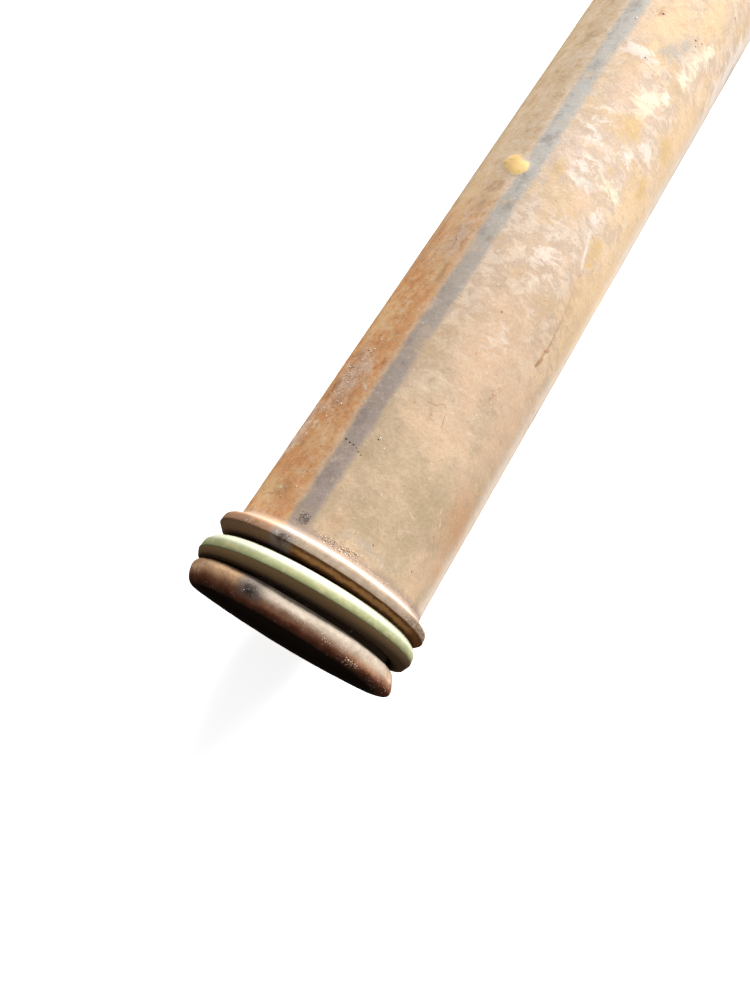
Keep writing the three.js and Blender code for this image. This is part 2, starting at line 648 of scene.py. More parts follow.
    def crackle(self, size: float, width: float, shift: Row) -> Socket:
        """Draws a net of ragged cracks.

        Args:
            size: Distance from crack to crack.
            width: Half the width of a crack.
            shift: Moves the net, so that two nets differ.

        Returns:
            The cracks' mask.
        """
        place = self.moved(shift)
        straying = {"Vector": place, "Scale": 1.5 / size, "Detail": 5.0, "Roughness": 0.65}
        stray = self.node("TexNoise", straying)
        bent = self.vector("MULTIPLY_ADD", {0: stray.outputs[1], 1: (1.1 * size,) * 3, 2: place})
        cells = self.node("TexVoronoi", {"Vector": bent, "Scale": 1 / size}, feature="DISTANCE_TO_EDGE")
        return self.smooth(cells.outputs["Distance"], width / size, 0.0)

    def stroke(self, stroke: Stroke, wobble: Socket) -> Value:
        """Draws a scored line.

        Args:
            stroke: The line.
            wobble: A small shift along the pipe, which keeps the line from being straight.

        Returns:
            The line's mask.
        """
        unrolled = {0: self.math("ADD", self.along, wobble), 1: self.both(self.angle, ARC)}
        sheet = self.node("CombineXYZ", unrolled).outputs[0]
        masks = []
        for start, run in stroke.runs():
            offset = self.vector("SUBTRACT", {0: sheet, 1: start})
            share = self.vector("DOT_PRODUCT", {0: offset, 1: run / run.length_squared}, "Value")
            held = self.node("Clamp", {0: share}).outputs[0]
            foot = self.vector("SCALE", {0: run, "Scale": held})
            apart = self.vector("DISTANCE", {0: offset, 1: foot}, "Value")
            masks.append(self.smooth(apart, stroke.width, 0.0))
        return self.either(*masks)

    def finish(self, bump: Socket, height: float, roughness: Value, specular: float) -> Material:
        """Ends the material with its shader.

        Args:
            bump: The fine relief, from 0 to 1.
            height: How high a relief of 1 is, in metres.
            roughness: The surface's roughness.
            specular: Strength of its reflections.

        Returns:
            The material.
        """
        relief = self.node("Bump", {"Height": bump, "Distance": height, "Strength": 1.0})
        surface = {"Base Color": self.colour, "Roughness": roughness, "Specular IOR Level": specular}
        shader = self.node("BsdfPrincipled", {**surface, "Normal": relief.outputs[0]})
        self.node("OutputMaterial", {"Surface": shader.outputs[0]}, is_active_output=True)
        return self.material


@dataclass(frozen=True)
class RustedSteel:
    """Steel under old rust: tan and orange-brown, with a grey weld seam and darker rolled beads.

    Every ramp gives a tint for a noise from 0 to 1, apart from the lip's, which go by the distance round the
    lip's section from its crown and hold painted shade towards the rim and painted light towards the crown's
    back over the rust's tints. A span runs from where a layer begins to where it covers wholly.
    """

    peach: Colour = (0.60, 0.42, 0.285)
    dun: Colour = (0.40, 0.30, 0.22)
    pink: Colour = (0.50, 0.375, 0.275)
    shell: Colour = (0.58, 0.46, 0.355)
    rose: Colour = (0.54, 0.26, 0.125)
    tan: Colour = (0.60, 0.44, 0.28)
    gold: Colour = (0.67, 0.465, 0.265)
    blush: Colour = (0.57, 0.42, 0.33)
    ochre: Colour = (0.56, 0.37, 0.165)
    yolk: Colour = (0.86, 0.58, 0.24)
    brown: Colour = (0.33, 0.155, 0.07)
    ash: Colour = (0.40, 0.34, 0.275)
    cream: Colour = (0.68, 0.57, 0.47)
    straw: Colour = (0.68, 0.60, 0.43)
    seam: Colour = (0.31, 0.255, 0.23)
    far_seam: Colour = (0.42, 0.395, 0.345)
    pit: Colour = (0.20, 0.165, 0.15)
    # dark rust with painted shade: the collar's flank towards the mouth
    flank: Colour = (0.27, 0.115, 0.045)
    flank_streak: Colour = (0.62, 0.31, 0.12)
    crest: Colour = (0.34, 0.265, 0.195)
    crest_rust: Colour = (0.35, 0.205, 0.125)
    # painted shade on the collar's crest on its shaded side
    crest_dark: Colour = (0.20, 0.145, 0.105)
    crest_edge: Colour = (0.38, 0.28, 0.21)
    # painted highlight on the collar's back edge
    edge_highlight: Colour = (0.56, 0.50, 0.44)
    foot: Colour = (0.27, 0.205, 0.17)
    soot: Colour = (0.05, 0.04, 0.035)
    # painted shade for the groove
    groove_shade: Colour = (0.16, 0.10, 0.065)
    # near black: dark rust with painted shade inside the bore
    bore: Colour = (0.03, 0.019, 0.013)
    near: Ramp = (
        (0.30, (0.45, 0.35, 0.228)), (0.46, (0.475, 0.357, 0.235)), (0.60, (0.54, 0.405, 0.275)),
        (0.76, peach),
    )
    far: Ramp = ((0.30, tan), (0.42, pink), (0.49, pink), (0.52, shell), (0.60, shell), (0.64, cream))
    orange: Ramp = ((0.30, brown), (0.41, rose), (0.53, (0.60, 0.32, 0.145)), (0.70, tan))
    pale: Ramp = ((0.30, dun), (0.44, tan), (0.70, cream))
    broad: Ramp = ((0.36, (0.91, 0.90, 0.87)), (0.50, (1.0, 1.0, 1.0)), (0.62, (1.09, 1.08, 1.06)))
    worn: Ramp = ((0.3, (0.72, 0.68, 0.64)), (0.5, (1.0, 1.0, 1.0)), (0.68, (1.25, 1.22, 1.2)))
    dust: Ramp = ((0.25, (0.90, 0.885, 0.87)), (0.75, (1.03, 1.03, 1.03)))
    # Lip ramps: painted shade darkening towards the rim and painted light paling towards the crown's back,
    # over the rust's tints.
    worn_lip_shading: Ramp = (
        (-2.0, (0.03, 0.016, 0.011)), (-1.2, (0.09, 0.04, 0.026)), (-0.4, (0.22, 0.072, 0.04)),
        (0.4, (0.42, 0.17, 0.095)), (1.1, (0.54, 0.29, 0.18)), (1.7, (0.51, 0.375, 0.275)),
        (2.4, (0.58, 0.475, 0.375)), (3.3, (0.72, 0.615, 0.505)),
    )
    # painted shade towards the rim and painted light on the crown, over orange rust
    rusty_lip_shading: Ramp = (
        (-2.0, (0.03, 0.016, 0.011)), (-1.0, (0.09, 0.035, 0.022)), (0.0, (0.21, 0.075, 0.04)),
        (0.9, (0.40, 0.17, 0.09)), (1.8, (0.62, 0.355, 0.195)), (2.8, (0.68, 0.44, 0.26)),
    )
    left_side: Span = (24, 36)
    right_side: Span = (-50, -64)
    shaded_side: Span = (-32, -56)
    foot_at: Span = (13.9, 12.6)
    back_edge_at: Span = (12.05, 11.75)
    crest_at: Span = (11.4, 11.1)
    flank_at: Span = (9.95, 9.75)
    lip_at: Span = (6.5, 6.0)
    weathering: Weathering = Weathering()

    def build(self, axis: PipeAxis) -> Material:
        """Paints the steel.

        Args:
            axis: Where the pipe lies.

        Returns:
            The material.
        """
        coat = SteelCoat(self, axis)
        coat.sides()
        coat.patches()
        coat.weld()
        coat.cracks()
        coat.collar()
        coat.lip()
        coat.groove()
        coat.freckles()
        coat.painted_light()
        # The bore is painted near black: dark rust with painted shade.
        bore = coat.attribute(Tone.BORE.value)
        coat.lay(self.bore, bore)
        rough = coat.either(coat.scaled(coat.flakes, 0.35, 0.45), bore)
        grain = coat.scaled(coat.flakes, 2.0, coat.fine)
        return coat.finish(grain, height=0.000028, roughness=rough, specular=0.0)


class SteelCoat(Recipe):
    """The coat of rust on the steel, painted layer by layer, with painted light and shade on the beads and
    the sides.
    """

    def __init__(self, steel: RustedSteel, axis: PipeAxis) -> None:
        """Starts the coat with the noises and masks that its layers share.

        Args:
            steel: The steel's tints and marks.
            axis: Where the pipe lies.
        """
        super().__init__(Slot.STEEL.value, axis)
        self.steel = steel
        self.weathering = steel.weathering
        self.fine = self.noise(0.55, 3, 0.6)
        self.flakes = self.noise(2.6, 9, 0.72)
        self.clouds = self.noise(9, 6, 0.6, (40, 0, 0))
        self.brushed = self.noise(1.7, 8, 0.68, (5, 1, 6), (1, 0.62, 0.62), 0.5)
        self.left = self.smooth(self.angle, *steel.left_side)
        self.ragged = self.scaled(self.flakes, 1.2, self.math("SUBTRACT", self.along, 0.6))
        self.worn = self.ramp(self.flakes, steel.worn)

    def sides(self) -> None:
        """Paints the beige side, and the orange side beyond the seam, which pales away from the mouth."""
        steel, flakes, clouds = self.steel, self.flakes, self.clouds
        away = self.smooth(self.scaled(clouds, 24, self.along), 38, 68)
        self.colour = self.mix(away, self.ramp(flakes, steel.near), self.ramp(self.brushed, steel.far))
        self.lay(steel.peach, self.smooth(clouds, 0.5, 0.68), 0.5)
        self.lay(steel.gold, self.smooth(clouds, 0.52, 0.38), self.smooth(self.along, 30, 75), 0.5)
        self.shade(self.ramp(clouds, steel.broad), 1.0)
        # Painted reflection: the low -y side of the tube is painted pale.
        self.lay(steel.cream, self.smooth(self.angle, -55, -68), 0.8)
        away = self.smooth(self.scaled(clouds, 40, self.along), 72, 112)
        side = self.mix(away, self.ramp(flakes, steel.orange), self.ramp(flakes, steel.pale))
        self.lay(side, self.band(self.scaled(flakes, 9, self.angle), 37, 165, 6))

    def patches(self) -> None:
        """Lays the patches of each tone on the rust, each with its kind of edge, softness and strength."""
        stain = self.scaled(self.clouds, 0.6, self.scaled(self.flakes, 1.0, -0.8))
        ragged = self.scaled(self.flakes, 2.0, -1.0)
        torn = self.scaled(self.brushed, 2.4, -1.2)
        for tone, edge, softness, strength in (
            (Tone.PEACH, stain, 0.3, 0.8), (Tone.GOLD, torn, 0.4, 0.75), (Tone.ROSE, stain, 0.45, 0.5),
            (Tone.BLUSH, ragged, 0.3, 0.8), (Tone.OCHRE, torn, 0.3, 0.8), (Tone.BROWN, ragged, 0.3, 0.6),
            (Tone.ASH, torn, 0.3, 0.8), (Tone.CREAM, torn, 0.22, 0.85), (Tone.STRAW, torn, 0.3, 0.9),
            (Tone.SOOT, ragged, 0.2, 0.65),
        ):
            weight = self.math("ADD", self.attribute(tone.value), edge)
            mask = self.smooth(weight, 0.5 - softness, 0.5 + softness)
            self.lay(getattr(self.steel, tone.value), mask, strength)

    def weld(self) -> None:
        """Lays on the grey weld seam, paler away from the mouth, and the yellow crust beside it."""
        steel, (low, high) = self.steel, self.weathering.seam
        spots = self.noise(3.2, 8, 0.7, (7, 7, 7))
        wander = self.scaled(spots, 7.0, self.scaled(self.clouds, 4.0, self.angle))
        grey = self.mix(self.smooth(self.along, 20, 105), steel.seam, steel.far_seam)
        grey = self.mix(self.both(self.smooth(spots, 0.50, 0.36), 0.45), grey, steel.pit)
        grey = self.mix(self.both(self.smooth(spots, 0.52, 0.68), 0.5), grey, steel.pink)
        lane = self.band(wander, low + 6.0, high + 5.5, 4.5)
        self.lay(grey, lane, self.smooth(self.clouds, 0.25, 0.45), 0.9)
        crust = self.scaled(spots, 0.2, self.attribute(Tone.YOLK.value))
        self.lay(steel.yolk, self.smooth(crust, 0.54, 0.66), 0.95)

    def cracks(self) -> None:
        """Draws the crackle in the rust, the long scratch with its pale end, and the single cracks."""
        steel, marks = self.steel, self.weathering
        broken = self.noise(2.2, 4, 0.6, (1, 2, 9))
        zone = self.smooth(self.math("ADD", self.attribute(Tone.CRACK.value), broken), 0.82, 1.15)
        for size, width, shift in ((4.5, 0.13, (2, 5, 1)), (1.5, 0.09, (6, 3, 8))):
            self.lay(steel.brown, self.crackle(size, width, shift), zone, 0.55)
        wobble = self.scaled(self.noise(1.2, 4, 0.6), 1.6, -0.8)
        self.lay(steel.brown, self.stroke(marks.scratch, wobble), self.smooth(self.clouds, 0.3, 0.6), 0.5)
        self.lay(steel.cream, self.stroke(marks.scrape, wobble), 0.85)
        gaps = self.smooth(broken, 0.38, 0.5)
        for crack in marks.cracks:
            self.lay(steel.brown, self.stroke(crack, wobble), gaps, 0.65)

    def collar(self) -> None:
        """Paints the collar from the dark foot behind it over its edge and crest to the flank before it,
        with a painted highlight on its back edge and painted shade on its crest's shaded side and its flank.
        """
        steel, left = self.steel, self.left
        shaded = self.smooth(self.angle, *steel.shaded_side)
        self.lay(steel.foot, self.smooth(self.ragged, *steel.foot_at), self.smooth(self.angle, 34, 18), 0.8)
        self.lay(steel.crest_edge, left, self.smooth(self.along, 13.6, 12.2), 0.7)
        # Painted highlight on the collar's back edge in the middle; painted shade on its crest on the shaded
        # side.
        edge = self.mix(shaded, self.mix(left, steel.edge_highlight, steel.crest_edge), steel.crest_edge)
        self.lay(edge, self.smooth(self.along, *steel.back_edge_at))
        crest = self.mix(shaded, self.mix(left, steel.crest, steel.crest_rust), steel.crest_dark)
        self.lay(self.mix(1.0, crest, self.worn, "MULTIPLY"), self.smooth(self.along, *steel.crest_at))
        middle = self.both(self.band(self.angle, -54, 20, 12), self.band(self.ragged, 9.0, 9.5, 0.3))
        # The flank towards the mouth: dark rust with painted shade.
        flank = self.mix(middle, steel.flank, steel.flank_streak)
        flank = self.mix(self.both(left, 0.9), flank, steel.crest_rust)
        self.lay(flank, self.smooth(self.along, *steel.flank_at))

    def lip(self) -> None:
        """Paints the lip by the way round its section, with painted shade towards its rim and painted light
        on its crown, over its rust and wear.
        """
        steel, rim, back = self.steel, -2.4, 4.0
        tube = self.colour
        uneven = self.math("ADD", self.attribute(SECTION), self.scaled(self.flakes, 1.8, -0.9))
        place = self.node("MapRange", {"Value": uneven, "From Min": rim, "From Max": back}).outputs[0]
        # Tints by the way round the section: painted shade towards the rim, painted light towards the
        # crown's back.
        worn, rusty = (
            self.ramp(place, tuple(((at - rim) / (back - rim), tint) for at, tint in ramp))
            for ramp in (steel.worn_lip_shading, steel.rusty_lip_shading)
        )
        right = self.smooth(self.angle, *steel.right_side)
        self.colour = self.mix(self.either(self.left, self.both(right, 0.5)), worn, rusty)
        # Painted light and shade on the lip: a painted highlight on the crown in the middle, a lighter crown
        # at the far left, painted shadow on the back of the crown on the left and painted shade on the front
        # at the right.
        for strip, low, high, tint in (
            (self.band(self.angle, -8, 17, 14), 0.2, 2.6, (1.8, 1.85, 1.9)),
            (self.smooth(self.angle, 50, 66), 0.7, 2.1, (1.5, 1.6, 1.7)),
            (self.smooth(self.angle, 46, 66), 2.5, 4.5, (0.6, 0.57, 0.55)),
            (self.smooth(self.angle, -42, -56), 0.3, 1.9, (0.6, 0.58, 0.6)),
        ):
            self.shade(tint, strip, self.band(uneven, low, high, 0.8))
        wobble = self.scaled(self.flakes, 0.5, -0.25)
        for scratch in self.weathering.lip_scratches:
            self.lay(steel.cream, self.stroke(scratch, wobble), 0.7)
        self.shade(self.worn, 1.0)
        self.colour = self.mix(self.smooth(self.along, *steel.lip_at), tube, self.colour)

    def groove(self) -> None:
        """Paints shade into the groove, and carries the weld seam and its soot over the lip and the collar.
        """
        steel = self.steel
        # Painted shade in the groove, darker towards its floor.
        self.lay(steel.groove_shade, self.band(self.along, 3.6, 8.75, 0.2), self.smooth(self.radius, 16.5, 15.9))
        seam = self.band(self.angle, *self.weathering.seam, 4)
        self.lay(steel.seam, seam, self.band(self.along, 0.9, 11.0, 1.0), 0.75)
        sooty = self.math("ADD", self.attribute(Tone.SOOT.value), self.scaled(self.flakes, 2.4, -1.2))
        self.lay(steel.soot, self.smooth(sooty, 0.3, 0.8), self.smooth(self.along, 15.5, 14), 0.8)

    def freckles(self) -> None:
        """Speckles the rust with darker and paler grains and dust, and streaks the orange side."""
        brown, cream = self.steel.brown, self.steel.cream
        streaks = self.noise(0.6, 4, 0.6, (0, 0, 0), (1, 0.12, 0.12))
        self.lay(brown, self.smooth(streaks, 0.55, 0.75), 0.07)
        lines = self.noise(1.0, 7, 0.72, (3, 8, 1), (0.45, 1, 1))
        orange = self.both(self.band(self.angle, 33, 165, 4), self.band(self.along, 12.5, 82, 1))
        self.lay(brown, orange, self.smooth(lines, 0.53, 0.64), 0.4)
        self.lay(cream, orange, self.smooth(lines, 0.45, 0.35), 0.3)
        dots = self.noise(1.1, 6, 0.75, (9, 4, 2))
        self.lay(brown, self.smooth(dots, 0.58, 0.72), 0.45)
        self.lay(cream, self.smooth(dots, 0.42, 0.28), 0.6)
        self.shade(self.ramp(self.fine, self.steel.dust), 1.0)

    def painted_light(self) -> None:
        """Pales the rust: paler rust with a painted highlight away from the mouth on the beige side, and
        painted light low on both sides of the tube.
        """
        tube = self.smooth(self.along, 12.0, 13.5)
        # Paler rust and a painted highlight far from the mouth; painted light low on both sides.
        self.shade((1.17, 1.22, 1.30), self.band(self.along, 72, 180, 40), self.smooth(self.angle, 38, 30))
        self.shade((1.3, 1.28, 1.22), tube, self.smooth(self.angle, 38, 66))
        low = self.both(tube, self.band(self.angle, -110, -66, 14))
        self.shade((1.22, 1.24, 1.26), low, self.smooth(self.along, 110, 70))


@dataclass(frozen=True)
class GrainRust:
    """The finish of the loose rust grains, from near black over brown and orange to pale."""

    shades: Ramp = (
        (0.0, (0.05, 0.04, 0.035)), (0.25, (0.14, 0.105, 0.085)), (0.5, (0.34, 0.235, 0.165)),
        (0.75, (0.62, 0.41, 0.26)), (1.0, (0.80, 0.73, 0.64)),
    )
    attribute: str = "shade"

    def build(self, axis: PipeAxis) -> Material:
        """Paints each grain by the shade that its mesh holds, a little mottled.

        Args:
            axis: Where the pipe lies.

        Returns:
            The material.
        """
        recipe = Recipe("rust_grains", axis)
        mottle = recipe.noise(0.4, 3, 0.6)
        shade = recipe.math("ADD", recipe.attribute(self.attribute), recipe.scaled(mottle, 0.3, -0.15))
        recipe.colour = recipe.ramp(shade, self.shades)
        return recipe.finish(mottle, height=0.00003, roughness=0.6, specular=0.2)


@dataclass(frozen=True)
class GreenRubber:
    """Pale green rubber, with painted light and a painted highlight behind its crest, browner towards the
    mouth and with painted shade down in the groove.
    """

    green: Colour = (0.19, 0.20, 0.095)
    pale: Colour = (0.25, 0.255, 0.14)
    # painted highlight behind the crest
    painted_highlight: Colour = (0.48, 0.50, 0.37)
    # brown streaks, and browner on the side towards the mouth
    brown_tint: Colour = (0.50, 0.30, 0.14)
    # painted shade on the ring where it sits down in the groove
    groove_shade: Colour = (0.10, 0.065, 0.04)

    def build(self, axis: PipeAxis) -> Material:
        """Paints the rubber, by the place that each ring of its mesh had in the unrolled section.

        Args:
            axis: Where the pipe lies.

        Returns:
            The material.
        """
        recipe = Recipe(Slot.RUBBER.value, axis)
        mottle, around = recipe.noise(1.2, 6, 0.65), recipe.attribute(SECTION)
        streaks = recipe.noise(0.5, 4, 0.6, (0, 0, 0), (1, 0.1, 0.1))
        recipe.colour = recipe.mix(recipe.smooth(mottle, 0.42, 0.68), self.green, self.pale)
        recipe.lay(self.brown_tint, recipe.smooth(streaks, 0.5, 0.75), 0.25)
        # Painted light: the crest's back is painted brighter, then given a painted highlight.
        recipe.shade((1.6, 1.58, 1.65), recipe.smooth(around, 6.05, 6.75))
        recipe.lay(self.painted_highlight, recipe.smooth(around, 6.6, 7.3), 0.85)
        # Browner on the side towards the mouth.
        recipe.lay(self.brown_tint, recipe.smooth(recipe.scaled(mottle, 0.6, around), 6.3, 5.95), 0.95)
        low = recipe.math("SUBTRACT", recipe.radius, recipe.both(recipe.smooth(recipe.angle, -50, -80), 0.1))
        front = recipe.both(recipe.smooth(low, 18.6, 17.55), recipe.smooth(around, 6.6, 6.1))
        # Painted shade on the ring's front and low parts, down in the groove.
        recipe.lay(self.groove_shade, recipe.either(front, recipe.smooth(low, 17.9, 17.3)))
        return recipe.finish(mottle, height=0.00003, roughness=0.6, specular=0.0)


@dataclass(frozen=True)
class Sway:
    """How a rolled or pressed-on bead sits off true.

    Attributes:
        aside: How far the bead is shifted sideways, towards +y.
        lean: How far the bead leans towards the mouth at its +y side.
        bow: How far its outermost sides lie nearer to the mouth than its top.
        before: Distance from the mouth beyond which the pipe is true again.
    """

    aside: float
    lean: float
    bow: float
    before: float

    def apply(self, bm: Body) -> None:
        """Shifts and leans a body near the mouth, less and less towards `before`.

        Args:
            bm: The body in pipe coordinates.
        """
        for vert in bm.verts:
            share = step_up(-vert.co.x, -self.before, 1.0 - self.before)
            sine = vert.co.y / math.hypot(vert.co.y, vert.co.z)
            vert.co += Vector((-self.lean * sine - self.bow * sine ** 6, self.aside, 0.0)) * share


@dataclass(frozen=True)
class Flare:
    """How the mouth's rim is knocked outwards on its -y side.

    Attributes:
        out: How far the rim stands out.
        forward: How far the rim stands forward.
        before: Distance from the mouth beyond which the lip is true.
        rim: Radii from which, and from where on wholly, the rim is moved.
    """

    out: float
    forward: float
    before: float
    rim: Span = (15.2, 16.6)

    def apply(self, bm: Body) -> None:
        """Moves a body's rim, most at its outermost side and less towards `before`.

        Args:
            bm: The body in pipe coordinates.
        """
        for vert in bm.verts:
            reach = math.hypot(vert.co.y, vert.co.z)
            share = step_up(-vert.co.x, -self.before, 0.0) * step_up(reach, *self.rim)
            share *= max(-vert.co.y / reach, 0.0) ** 1.5
            aside, up = (self.out * value / reach for value in vert.co.yz)
            vert.co += Vector((-self.forward, aside, up)) * share


@dataclass
class RolledPipe:
    """The steel tube with its rolled lip, groove and collar. A hollow has a distance and a radius."""

    length: float = 500.0
    wall: float = 1.5
    mouth_radius: float = 14.93
    rim_radius: float = 16.1
    lip_crest: float = 1.3
    lip_radius: float = 17.45
    lip_back: float = 3.68
    groove_radius: float = 14.74
    groove_start: float = 4.05
    groove_end: float = 8.5
    collar_foot: float = 8.65
    collar_foot_radius: float = 16.85
    collar_crease: float = 9.83
    collar_radius: float = 18.13
    collar_fall: float = 0.1
    collar_crest_end: float = 11.15
    collar_end: float = 12.1
    bore_start: float = 12.6
    collar_hollow: Span = (10.3, 15.3)
    neck: Span = (4.0, 8.4)
    lip_hollow: Span = (1.6, 15.1)
    sides: int = 192
    steps: StepRule = StepRule(0.75, 2.6, 6.0, 150.0, 14.6)
    sway: Sway = Sway(0.45, 0.2, 0.2, 4.6)
    flare: Flare = Flare(1.45, -0.3, 3.25)

    def corners(self) -> list[Corner]:
        """Lists the outline's corners, from the mouth along the outside and back through the bore.

        Returns:
            The corners.
        """
        bore = TUBE_RADIUS - self.wall
        neck = self.groove_radius - self.wall
        return [
            Corner(0.0, self.mouth_radius, 0.6, 3),
            Corner(0.0, self.rim_radius, 0.4, 4),
            Corner(self.lip_crest, self.lip_radius, 1.3, 8),
            Corner(self.lip_back, self.lip_radius, 1.0, 6),
            Corner(self.groove_start, self.groove_radius, 0.55, 3),
            Corner(self.groove_end, self.groove_radius, 0.55, 3),
            Corner(self.collar_foot, self.collar_foot_radius, 0.3, 2),
            Corner(self.collar_crease, self.collar_radius, 0.06, 2),
            Corner(self.collar_crest_end, self.collar_radius - self.collar_fall, 0.4, 4),
            Corner(self.collar_end, TUBE_RADIUS, 0.7, 4),
            Corner(self.length, TUBE_RADIUS, 0.15, 2),
            Corner(self.length, bore, 0.15, 2),
            Corner(self.bore_start, bore, 1.0, 3),
            Corner(*self.collar_hollow, 0.9, 3),
            Corner(self.neck[1], neck, 0.9, 3),
            Corner(self.neck[0], neck, 0.9, 3),
            Corner(*self.lip_hollow, 0.5, 2),
        ]

    def build(self, axis: PipeAxis, finish: RustedSteel) -> bpy.types.Object:
        """Turns and dresses the pipe, which stands for the solid `pipe`.

        Args:
            axis: Where the pipe lies.
            finish: The pipe's finish.

        Returns:
            The pipe.
        """
        bm = turned(self.corners(), self.sides, self.steps)
        for shaping in (finish.weathering, self.flare, self.sway):
            shaping.apply(bm)
        piece = finished("rusted_pipe", bm, axis, finish.build(axis), Slot.STEEL)
        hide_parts("pipe")
        return piece


@dataclass
class SealingRing:
    """The rubber ring in the groove, a little flattened by its socket and narrower than it is high."""

    front: float = 4.4
    front_foot: float = 4.9
    front_side_radius: float = 16.3
    front_edge: float = 4.7
    front_radius: float = 17.9
    crease: float = 6.0
    crest_radius: float = 18.52
    crest_end: float = 7.3
    crest_end_radius: float = 18.38
    back: float = 8.28
    back_radius: float = 17.55
    back_side_radius: float = 16.2
    back_foot: float = 7.58
    inner_radius: float = 15.2
    rolled_by: float = 0.25
    narrowed: float = 0.988
    sides: int = 192
    steps: StepRule = StepRule(0.4, 0.4, 0.4, 60.0, 0.0)
    sway: Sway = Sway(0.17, 0.66, 0.43, 60.0)

    def corners(self) -> list[Corner]:
        """Lists the section's corners, from the groove's floor round the outside.

        Returns:
            The corners.
        """
        return [
            Corner(self.front_foot, self.inner_radius, 0.6, 4),
            Corner(self.front, self.front_side_radius, 0.5, 3),
            Corner(self.front_edge, self.front_radius, 0.3, 3),
            Corner(self.crease, self.crest_radius, 0.12, 3),
            Corner(self.crest_end, self.crest_end_radius, 0.25, 3),
            Corner(self.back, self.back_radius, 0.5, 4),
            Corner(self.back, self.back_side_radius, 0.6, 4),
            Corner(self.back_foot, self.inner_radius, 0.6, 4),
        ]

    def roll(self, bm: Body) -> None:
        """Notes each place's distance from the mouth, then rolls the crease towards the mouth at +y.

        Args:
            bm: The ring in pipe coordinates.
        """
        section = bm.verts.layers.float.new(SECTION)
        for vert in bm.verts:
            along, side, up = vert.co
            vert[section] = along
            share = step_up(math.degrees(math.atan2(side, up)), 8.0, 75.0)
            share *= step_up(-along, -6.9, -6.1) * step_up(math.hypot(side, up), 17.6, 18.5)
            vert.co.x -= self.rolled_by * share

    def build(self, axis: PipeAxis, finish: GreenRubber) -> None:
        """Turns and dresses the ring, which stands for the solid `sealing_ring`.

        Args:
            axis: Where the pipe lies.
            finish: The ring's finish.
        """
        bm = turned(self.corners(), self.sides, self.steps)
        self.roll(bm)
        bmesh.ops.scale(bm, vec=(1.0, self.narrowed, 1.0), verts=bm.verts)
        self.sway.apply(bm)
        piece = finished("rubber_ring", bm, axis, finish.build(axis), Slot.RUBBER)
        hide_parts("sealing_ring")


@dataclass(frozen=True)
class Scatter:
    """A field of rust grains on the pipe. Each span gives the least and the greatest value.

    Attributes:
        count: Number of grains.
        along: Distance from the mouth.
        angle: Angle.
        size: Half length of a grain.
        shade: Shade, from 0, near black, to 1, pale.
        long: Greatest length of a grain over its width.
    """

    count: int
    along: Span
    angle: Span
    size: Span
    shade: Span
    long: float = 1.6

    def draw(self, chance: random.Random) -> list[Row]:
        """Draws each grain's distance from the mouth, angle, half length, shade and stretch."""
        spans = (self.along, self.angle, self.size, self.shade, (1.0, self.long))
        return [tuple(chance.uniform(*span) for span in spans) for _ in range(self.count)]


